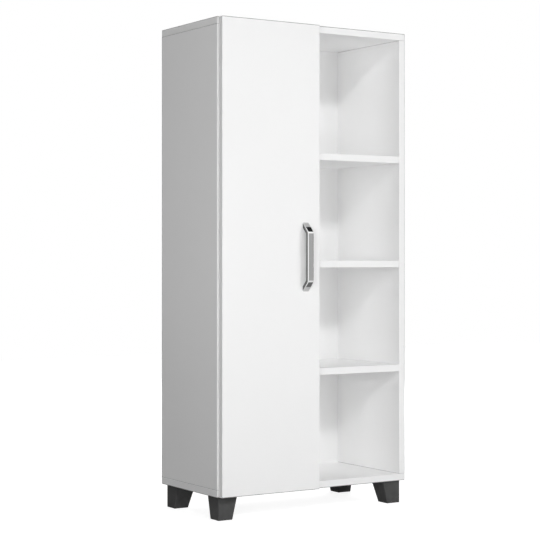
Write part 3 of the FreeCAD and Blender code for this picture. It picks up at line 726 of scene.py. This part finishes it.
class CUPBOARD_OT_screws(bpy.types.Operator):
    """Make the screws with cross recesses and threads, in place of the plain ones."""

    bl_idname = "cupboard.screws"
    bl_label = "Screws"

    def execute(self, context):
        finish = context.scene.cupboard_finish
        settings = context.scene.cupboard_screws
        zinc = plated_steel("zinc_plated_screw", finish.zinc, roughness=0.3, cloud=6 * MM)
        for node, (axis, body, head_radius, head, shank_radius) in SCREW_NODES.items():
            points = []
            faces = []
            for low, high in loose_parts(node):
                span = np.abs(np.dot(high - low, axis))
                seat = (low + high) / 2 + np.asarray(axis) * (span / 2 - head)
                one, quads, fans = screw_surface(settings, head_radius, head, shank_radius, span - head)
                start = sum(len(made) for made in points)
                faces += (quads + start).tolist() + (fans + start).tolist()
                points.append(turned_to(one, axis, seat))
            piece = mesh_piece(node + "_detail", np.vstack(points), faces, zinc)
            piece.data.shade_smooth()
            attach(piece, body)
            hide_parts(node)
        return {"FINISHED"}


def square_light(name, where, aim, size, watts):
    """A square area light at a place, turned to aim. Mirrors show the room instead of it."""
    data = bpy.data.lights.new(name, "AREA")
    data.shape = "SQUARE"
    data.size = size
    data.energy = watts
    light = bpy.data.objects.new(name, data)
    bpy.context.scene.collection.objects.link(light)
    from_aim = np.asarray(where) - np.asarray(aim)
    light.visible_glossy = False
    light.location = where
    light.rotation_euler = (math.atan2(math.hypot(from_aim[0], from_aim[1]), from_aim[2]), 0.0,
                            math.atan2(from_aim[1], from_aim[0]) + math.pi / 2)


# Soft edges between the parts of the room that metal shows, along one axis of the ray's direction:
# the left along X, soft light and ceiling along Z, and the backdrop along Y and Z
LEFT_EDGE = (-0.3, -0.6)
SOFT_BOX_EDGE = (0.06, 0.12)
CEILING_EDGE = (0.74, 0.78)
BACKDROP_EDGE = (-0.1, 0.2)
BACKDROP_TOP = (0.45, 0.60)


def white_studio(studio):
    """The surroundings: white to the eye, with soft light from the white backdrop behind the cupboard.

    The soft light falls off as the cosine to straight behind. By the ray's direction, shiny metal shows
    the room in front, soft light over it, a dark ceiling, a bright left side and the white backdrop."""
    world = bpy.data.worlds.new("white_studio")
    world.use_nodes = True
    tree = world.node_tree
    tree.nodes.clear()
    way = add(tree, "SeparateXYZ", {0: add(tree, "TexCoord").node.outputs["Generated"]}).node.outputs
    path = add(tree, "LightPath").node.outputs
    from_behind = add(tree, "Math", {0: way[1], 1: studio.ambient}, operation="MULTIPLY")
    soft = add(tree, "Math", {0: from_behind, 1: 0.0}, operation="MAXIMUM")
    on_left = add(tree, "MapRange", {"Value": way[0], "From Min": LEFT_EDGE[0], "From Max": LEFT_EDGE[1]})
    over_room = add(tree, "MapRange", {"Value": way[2], "From Min": SOFT_BOX_EDGE[0],
                                       "From Max": SOFT_BOX_EDGE[1]})
    overhead = add(tree, "MapRange", {"Value": way[2], "From Min": CEILING_EDGE[0],
                                      "From Max": CEILING_EDGE[1]})
    metal = add(tree, "Mix", {0: over_room, 2: studio.room, 3: studio.soft_box})
    metal = add(tree, "Mix", {0: overhead, 2: metal, 3: studio.ceiling})
    metal = add(tree, "Mix", {0: on_left, 2: metal, 3: studio.room_left})
    backdrop = add(tree, "MapRange", {"Value": way[1], "From Min": BACKDROP_EDGE[0],
                                      "From Max": BACKDROP_EDGE[1]})
    backdrop_top = add(tree, "MapRange", {"Value": way[2], "From Min": BACKDROP_TOP[0],
                                          "From Max": BACKDROP_TOP[1], "To Min": 1.0, "To Max": 0.0})
    behind = add(tree, "Math", {0: backdrop, 1: backdrop_top}, operation="MULTIPLY")
    metal = add(tree, "Mix", {0: behind, 2: metal, 3: 1.0})
    mirrored = add(tree, "Mix", {0: path["Is Glossy Ray"], 2: soft, 3: metal})
    direct = add(tree, "Math", {0: path["Is Camera Ray"], 1: path["Is Transmission Ray"]},
                 operation="MAXIMUM")
    strength = add(tree, "Mix", {0: direct, 2: mirrored, 3: 1.0})
    air = add(tree, "Background", {"Color": (1.0, 1.0, 1.0, 1.0), "Strength": strength})
    add(tree, "OutputWorld", {"Surface": air})
    return world


# Distances over which the floor's glow rises to full white, and where its front gives way to its rear
GLOW_RISE = (1.0, 4.0)
FRONT_EDGE = (-0.1, 0.1)


def paper_floor(studio):
    """Matt white paper: it takes the shadow, and glows to the eye so that it reads as white.

    Shiny metal shows it white in front, with one dim round patch, a painted shadow of the cupboard, and dim
    behind."""
    material, tree, where = new_material("white_paper_floor")
    path = add(tree, "LightPath").node.outputs
    seen = add(tree, "Math", {0: path["Is Camera Ray"], 1: path["Is Transmission Ray"]},
               operation="MAXIMUM")
    away = add(tree, "VectorMath", {0: where}, operation="LENGTH")
    glow = add(tree, "MapRange", {"Value": away, "From Min": GLOW_RISE[0], "From Max": GLOW_RISE[1],
                                  "To Min": studio.floor_glow, "To Max": 1.0})
    to_the_eye = add(tree, "Math", {0: glow, 1: seen}, operation="MULTIPLY")
    light = add(tree, "Emission", {"Strength": to_the_eye})
    paper = add(tree, "BsdfDiffuse", {"Color": (*[studio.floor_white] * 3, 1.0)})
    lit = add(tree, "AddShader", {0: paper, 1: light})
    ahead = add(tree, "SeparateXYZ", {0: where}).node.outputs[1]
    mirrored = add(tree, "MapRange", {"Value": ahead, "From Min": FRONT_EDGE[0], "From Max": FRONT_EDGE[1],
                                      "To Min": studio.floor_front, "To Max": studio.floor_mirrored})
    # Painted shadow: a dim round patch near the cupboard's right front, seen only in metal
    from_shadow_patch = add(tree, "VectorMath", {0: where, 1: studio.shadow_patch_place}, operation="DISTANCE")
    shadow_patch = add(tree, "MapRange", {"Value": from_shadow_patch, "From Min": studio.shadow_patch_radius,
                                   "From Max": studio.shadow_patch_radius + studio.shadow_patch_fade,
                                   "To Min": 1.0, "To Max": 0.0})
    mirrored = add(tree, "Mix", {0: shadow_patch, 2: mirrored, 3: studio.floor_mirrored})
    in_metal = add(tree, "Emission", {"Strength": mirrored})
    floor = add(tree, "MixShader", {0: path["Is Glossy Ray"], 1: lit, 2: in_metal})
    add(tree, "OutputMaterial", {"Surface": floor})
    return material


class CUPBOARD_OT_stage(bpy.types.Operator):
    """Set the floor, the lights, the white surroundings and the camera."""

    bl_idname = "cupboard.stage"
    bl_label = "Studio and camera"

    def execute(self, context):
        scene = context.scene
        studio = scene.cupboard_studio
        scene.view_settings.view_transform = "Standard"
        scene.cycles.diffuse_bounces = DIFFUSE_BOUNCES
        scene.world = white_studio(studio)

        half = studio.floor_size / 2
        corners = half * np.array([[-1, -1, 0], [1, -1, 0], [1, 1, 0], [-1, 1, 0]])
        floor = mesh_piece("floor", corners, [[0, 1, 2, 3]], paper_floor(studio))

        middle = [(low + high) / 2 for low, high in zip(*CAD_BOX)]
        for lamp in ("key", "left", "right", "low", "rear", "top"):
            square_light(lamp + "_light", getattr(studio, lamp + "_place"), middle,
                         getattr(studio, lamp + "_size"), getattr(studio, lamp + "_power"))

        lens = bpy.data.cameras.new("camera")
        lens.sensor_width = SENSOR_MM
        lens.lens = LENS_PIXELS / FRAME_PIXELS * SENSOR_MM
        lens.shift_y = (CENTRE_ROW_PIXELS - FRAME_PIXELS / 2) / FRAME_PIXELS
        camera = bpy.data.objects.new("camera", lens)
        scene.collection.objects.link(camera)
        camera.location = [base + offset for base, offset in zip(CARCASS_CORNER, studio.camera_offset)]
        camera.rotation_euler = (math.pi / 2, 0.0, studio.camera_turn)
        scene.camera = camera
        return {"FINISHED"}


OPERATORS = (CUPBOARD_OT_stage, CUPBOARD_OT_boards, CUPBOARD_OT_feet, CUPBOARD_OT_handle,
             CUPBOARD_OT_hinges, CUPBOARD_OT_fittings, CUPBOARD_OT_screws)
GROUPS = {"cupboard_finish": CupboardFinish, "cupboard_screws": CupboardScrews,
          "cupboard_studio": CupboardStudio}


class CUPBOARD_PT_panel(bpy.types.Panel):
    """Lists the cupboard's settings and steps."""

    bl_label = "Cupboard"
    bl_space_type = "VIEW_3D"
    bl_region_type = "UI"
    bl_category = "Cupboard"

    def draw(self, context):
        for group in GROUPS:
            settings = getattr(context.scene, group)
            column = self.layout.column()
            for key in settings.__annotations__:
                column.prop(settings, key)
        for step in OPERATORS:
            self.layout.operator(step.bl_idname)


def register():
    """Register the classes and hang the settings on the scene."""
    for group in (*GROUPS.values(), *OPERATORS, CUPBOARD_PT_panel):
        bpy.utils.register_class(group)
    for name, group in GROUPS.items():
        setattr(bpy.types.Scene, name, PointerProperty(type=group))


def unregister():
    """Undo register."""
    for name in GROUPS:
        delattr(bpy.types.Scene, name)
    for group in (CUPBOARD_PT_panel, *reversed(OPERATORS), *GROUPS.values()):
        bpy.utils.unregister_class(group)


def main():
    """Run every step in order."""
    register()
    bpy.ops.cupboard.stage()
    bpy.ops.cupboard.boards()
    bpy.ops.cupboard.feet()
    bpy.ops.cupboard.handle()
    bpy.ops.cupboard.hinges()
    bpy.ops.cupboard.fittings()
    bpy.ops.cupboard.screws()


if __name__ == "__main__":
    main()
